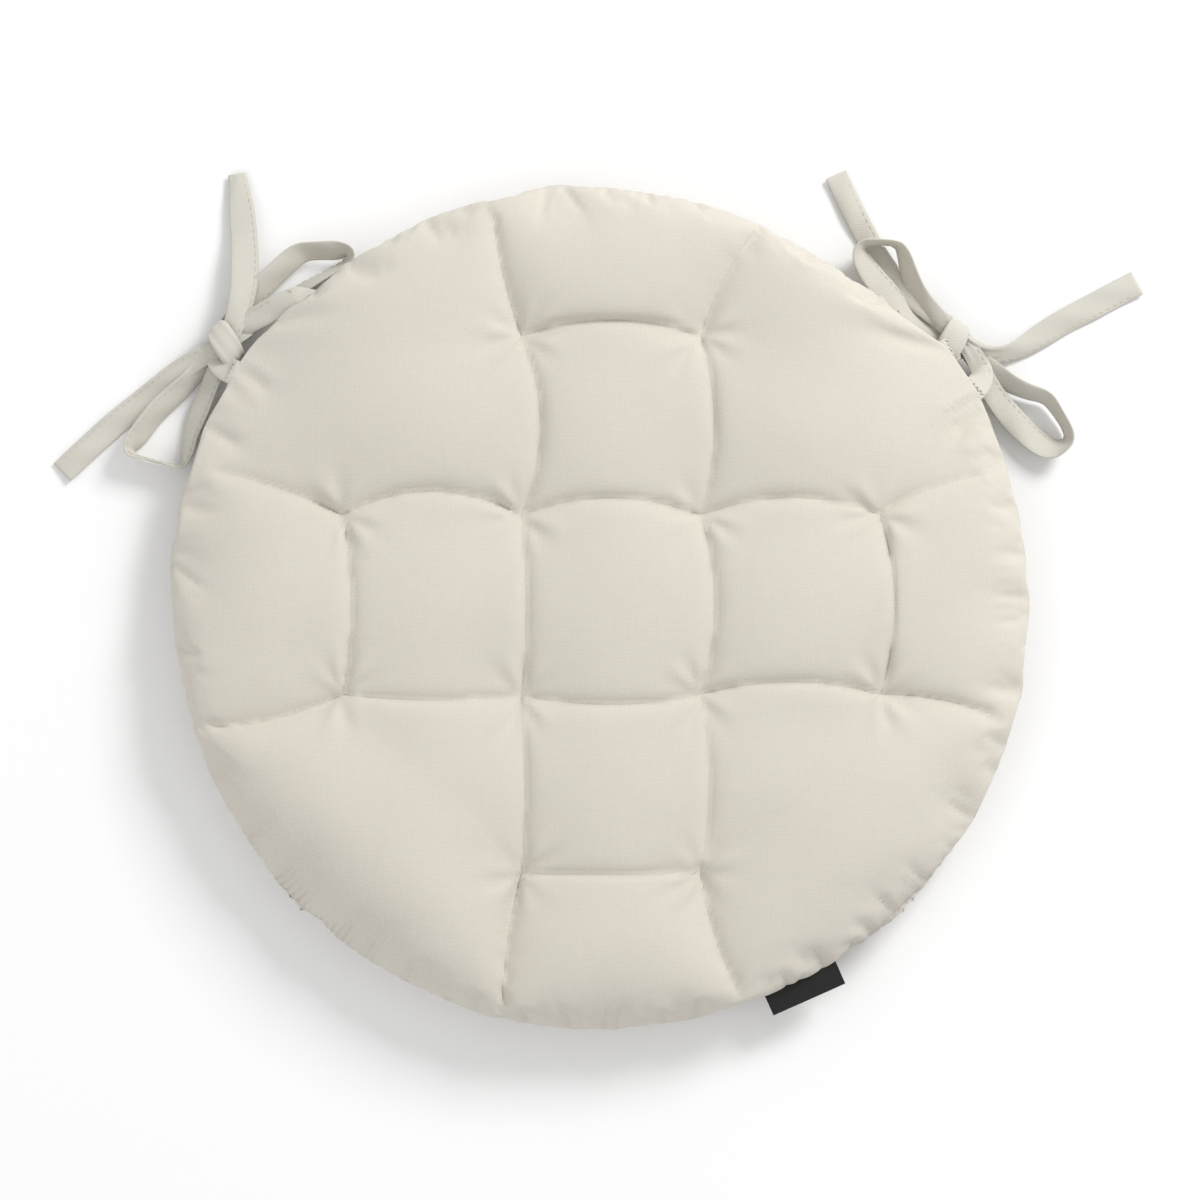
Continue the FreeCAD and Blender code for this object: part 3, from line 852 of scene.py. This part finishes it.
# The grid's normals, all turned so that the one at its middle points into the pad.
def inwardOf(grid, sign):
    normal = normalsOf(grid)
    return normal * (1 if normal[grid.shape[0] // 2, grid.shape[1] // 2, 2] * sign < 0 else -1)


topInward, bottomInward = inwardOf(upperGrid, 1), inwardOf(lowerGrid, -1)
topCover = addPiece("topCover", shellMesh("topCover", upperGrid, topInward, flatGrid),
                    materials["coverCloth"])
bottomCover = addPiece("bottomCover", shellMesh("bottomCover", lowerGrid, bottomInward, flatGrid + 0.5),
                       materials["coverCloth"])
for piece, node in ((topCover, "top_cover"), (bottomCover, "bottom_cover")):
    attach(piece, "pad")
    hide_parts(node)


# The lowest level among each point and its near neighbours, so a surface under a crease stays under it.
def lowestNear(grid, direction):
    padded = np.pad(grid[..., 2] * direction, 3, mode="edge")
    rows, columns = grid.shape[:2]
    lowest = grid[..., 2] * direction
    for i in range(7):
        for j in range(7):
            lowest = np.minimum(lowest, padded[i:i + rows, j:j + columns])
    middle = np.clip((pad["fillTo"] - np.linalg.norm(grid[..., :2], axis=2)) / pad["rimFade"], 0, 1)
    level = (lowest * middle + grid[..., 2] * direction * (1 - middle)) * direction
    return np.concatenate([grid[..., :2], level[..., None]], -1)


# The filling: both grids moved in by a little more than the cloth, every second line, closed at the rim.
def fillingMesh():
    inset = pad["cover"] * pad["fillInset"]
    top = lowestNear(upperGrid + topInward * inset, 1)[::2, ::2]
    bottom = lowestNear(lowerGrid + bottomInward * inset, -1)[::2, ::2]
    n = top.shape[0]
    edge = np.zeros((n, n), bool)
    edge[[0, -1], :] = edge[:, [0, -1]] = True
    middle = (top[edge] + bottom[edge]) / 2
    middle[:, :2] -= unit(middle[:, :2]) * inset
    top[edge] = middle
    low = np.arange(n * n)
    inner = np.flatnonzero(~edge.ravel())
    low[inner] = n * n + np.arange(len(inner))
    index = np.arange(n * n).reshape(n, n)
    quads = np.stack([index[:-1, :-1], index[:-1, 1:], index[1:, 1:], index[1:, :-1]], -1).reshape(-1, 4)
    faces = np.concatenate([quads, low[quads][:, ::-1]])
    mesh = bpy.data.meshes.new("fibreFilling")
    points = np.concatenate([top.reshape(-1, 3), bottom.reshape(-1, 3)[inner]])
    mesh.from_pydata(points.tolist(), [], faces.tolist())
    mesh.polygons.foreach_set("use_smooth", np.ones(len(mesh.polygons), bool))
    return mesh


filling = addPiece("fibreFilling", fillingMesh(), materials["fillingFibre"])
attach(filling, "pad")
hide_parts("fibre_filling")
print("pad made")

thread = {"radius": 0.00030, "seamStitch": 0.0030, "seamGap": 0.0012, "seamInset": -0.0006,
          "closing": (252, 287), "closingStep": 0.0045, "closingSlant": 0.0016, "closingRadius": 0.0004,
          "closingRise": 0.0008, "closingSunk": 0.0004,
          "tuftRadius": 0.00035, "tuftSunk": 0.0006, "tuftReach": 0.0011,
          "tackStitches": 9, "tackFrom": 0.0015, "tackRise": 0.0007,
          "tackWidth": 0.0105, "tackStep": 0.0011}

rimLoop = np.concatenate([upperGrid[0, :-1], upperGrid[:-1, -1], upperGrid[-1, :0:-1], upperGrid[:0:-1, 0]])
rimLoop = np.concatenate([rimLoop, rimLoop[:1]])
rimAlong = np.concatenate([[0], np.cumsum(np.linalg.norm(np.diff(rimLoop, axis=0), axis=1))])


# The point of the rim at a distance along it, by straight lines between its corners.
def onRim(distance):
    return np.stack([np.interp(distance % rimAlong[-1], rimAlong, rimLoop[:, k]) for k in range(3)], -1)


# The bearing of that point from the pad's middle, 0 to 360 degrees.
def rimBearing(distance):
    spot = onRim(distance)
    return np.degrees(np.arctan2(spot[..., 1], spot[..., 0])) % 360


# Stitches as one piece of sewing thread that stands for its CAD nodes.
def threadPiece(name, grids, body, *nodes):
    piece = addPiece(name, gridMesh(name, grids, closed=True, capped=True), materials["sewingThread"])
    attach(piece, body)
    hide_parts(*nodes)
    return piece


# Running stitches in the groove of the rim, all round but where the pad was turned and closed.
steps = np.arange(0, rimAlong[-1] - thread["seamStitch"], thread["seamStitch"] + thread["seamGap"])
openFrom, openTo = thread["closing"]
machine = steps[(rimBearing(steps) < openFrom) | (rimBearing(steps) > openTo)]
starts, ends = onRim(machine), onRim(machine + thread["seamStitch"])
outwards = unit(starts * [1, 1, 0])
threadPiece("perimeterSeamThread", stitchGrids(starts + outwards * thread["seamInset"],
                                               ends + outwards * thread["seamInset"], outwards,
                                               thread["radius"]), "pad", "perimeter_seam_thread")

# Hand stitches that closed the pad: slanted across the groove.
fine = np.arange(0, rimAlong[-1], 0.0005)
gap = fine[(rimBearing(fine) > openFrom) & (rimBearing(fine) < openTo)]
hand = np.arange(gap.min(), gap.max(), thread["closingStep"])
starts, ends = onRim(hand), onRim(hand + thread["closingSlant"])
outwards = unit(starts * [1, 1, 0])
starts = starts - outwards * thread["closingSunk"] + up * thread["closingRise"]
ends = ends - outwards * thread["closingSunk"] - up * thread["closingRise"]
threadPiece("closingStitchThread", stitchGrids(starts, ends, outwards, thread["closingRadius"]), "pad",
            "closing_stitch_thread")


# A tuft's thread: two strands down through the pad, side by side, with a short bar above and below.
for number, (node, corners) in enumerate(tuftBoxes.items()):
    x, y = corners.mean(0)[:2]
    nearest = np.linalg.norm(upperGrid[..., :2] - [x, y], axis=2)
    top = upperGrid[..., 2][nearest < 0.0025].min() - thread["tuftSunk"]
    nearest = np.linalg.norm(lowerGrid[..., :2] - [x, y], axis=2)
    bottom = lowerGrid[..., 2][nearest < 0.0025].max() + thread["tuftSunk"]
    turned = 0.5 + 0.7 * math.sin(number * 2.3)
    reach = np.array([math.cos(turned), math.sin(turned), 0]) * thread["tuftReach"]
    centre = np.array([x, y, 0])
    starts = np.array([centre - reach + up * (top + 0.0001), centre - reach + up * (bottom - 0.0001),
                       centre - 0.4 * reach + up * top, centre + 0.4 * reach + up * top])
    ends = np.array([centre + reach + up * (top + 0.0001), centre + reach + up * (bottom - 0.0001),
                     centre - 0.4 * reach + up * bottom, centre + 0.4 * reach + up * bottom])
    facing = np.array([up, -up, unit(reach), unit(reach)])
    threadPiece(f"tuftStitch{number + 1:02d}", stitchGrids(starts, ends, facing, thread["tuftRadius"]),
                "pad", node)

# Tacks: a zigzag of thread across each tie where the seam holds it.
for node, values in tieRoutes.items():
    words = node.split("_")
    name = words[0] + "".join(word.capitalize() for word in words[1:]) + "Tack"
    points, stations, face, side, width = ribbonFrame(values)
    count = thread["tackStitches"]
    at = np.linspace(-0.5, 0.5, count + 1)
    place = [np.array([np.interp(thread["tackFrom"], stations, a[:, k]) for k in range(3)])
             for a in (points, face, side)]
    along = np.cross(place[2], place[1])
    line = (place[0] + place[2] * (at * thread["tackWidth"])[:, None] + place[1] * thread["tackRise"]
            + along * (thread["tackStep"] * (-1.0) ** np.arange(count + 1))[:, None])
    tack = stitchGrids(line[:-1], line[1:], np.tile(place[1], (count, 1)), thread["radius"])
    threadPiece(name, tack, "pad", node + "_tack")
print("stitches made")

label = {"width": 0.0366, "thickness": 0.0009, "bearing": -61.5, "direction": -65.9,
         "inner": 0.1925, "outer": 0.2062, "rib": 0.0004, "ribHeight": 0.00004,
         "droop": 0.0012, "wave": 0.0004, "rootAt": 0.196, "bendOver": 0.004}


# The label: a folded slip, as a flat closed profile across its length carried out from the seam.
# It curves down a little and its two corners lift unevenly.
def labelGrid():
    bearing, heading = math.radians(label["bearing"]), math.radians(label["direction"])
    out = np.array([math.cos(heading), math.sin(heading), 0])
    across = np.array([-out[1], out[0], 0])
    middle = np.array([math.cos(bearing), math.sin(bearing), 0])
    steps = np.linspace(0, 1, 40)
    angle = np.linspace(0, 2 * math.pi, 120, endpoint=False)
    x = np.sign(np.cos(angle)) * np.abs(np.cos(angle)) ** 0.35
    y = np.sign(np.sin(angle)) * np.abs(np.sin(angle)) ** 0.45
    reach = label["inner"] + steps * (label["outer"] - label["inner"])
    rounded = np.sqrt(np.clip(1 - ((steps - 0.93) / 0.07).clip(0, 1) ** 2, 0.02, 1))
    droop = -label["droop"] * steps ** 2
    wave = label["wave"] * np.sin(x[None, :] * 2.2 + 0.6) * steps[:, None] ** 2
    rib = label["ribHeight"] * (np.cos(x * label["width"] / label["rib"] * math.pi) * y)[None, :]
    base = middle * label["inner"]
    height = (y[None, :] * (label["thickness"] / 2 * rounded)[:, None] + droop[:, None] + wave + rib
              + pad["seamLevel"])
    sideways = across * (x * label["width"] / 2)[None, :, None]
    return base + out * (reach - label["inner"])[:, None, None] + sideways + up * height[..., None]


grid = labelGrid()
girth = np.linspace(0, 2 * label["width"], grid.shape[1] + 1)
length = np.linspace(0, label["outer"] - label["inner"], grid.shape[0])
labelUv = np.stack(np.broadcast_arrays(girth[None, :], length[:, None]), -1)
labelPiece = addPiece("wovenLabel", gridMesh("wovenLabel", grid, closed=True, capped=True, uv=labelUv),
                      materials["labelWeave"])
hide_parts("woven_label")
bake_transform(labelPiece)
print("label made")

studio = {"floor": (0.92, 0.92, 0.92), "floorLevel": -0.0006, "world": 0.67, "key": 52.0,
          "keyPlace": (1.5, 1.7, 1.6), "keySize": 0.9, "fill": 5.4,
          "fillPlace": (-1.2, -0.9, 1.2), "fillSize": 1.5}

floorMaterial = bpy.data.materials.new("studioFloor")
floorMaterial.use_nodes = True
floorShader = floorMaterial.node_tree.nodes["Principled BSDF"]
floorShader.inputs["Roughness"].default_value = 0.8
floorShader.inputs["Specular IOR Level"].default_value = 0.1
floorShader.inputs["Base Color"].default_value = (*studio["floor"], 1)
floorMesh = bpy.data.meshes.new("floor")
floorCorners = [(x * 6, y * 6, studio["floorLevel"]) for x, y in ((-1, -1), (1, -1), (1, 1), (-1, 1))]
floorMesh.from_pydata(floorCorners, [], [(0, 1, 2, 3)])
floor = addPiece("floor", floorMesh, floorMaterial)

world = bpy.data.worlds.new("studio")
world.use_nodes = True
world.node_tree.nodes["Background"].inputs[0].default_value = (1, 1, 1, 1)
world.node_tree.nodes["Background"].inputs[1].default_value = studio["world"]
scene.world = world


# A square area light that faces the origin.
def softLight(name, energy, size, place):
    light = bpy.data.lights.new(name, "AREA")
    light.energy, light.size = energy, size
    lamp = bpy.data.objects.new(name, light)
    lamp.location = place
    lamp.rotation_euler = (Vector((0, 0, 0)) - lamp.location).to_track_quat("-Z", "Y").to_euler()
    scene.collection.objects.link(lamp)


softLight("keyLight", studio["key"], studio["keySize"], studio["keyPlace"])
softLight("fillLight", studio["fill"], studio["fillSize"], studio["fillPlace"])
scene.view_settings.view_transform = "Standard"
print("floor and lights made")
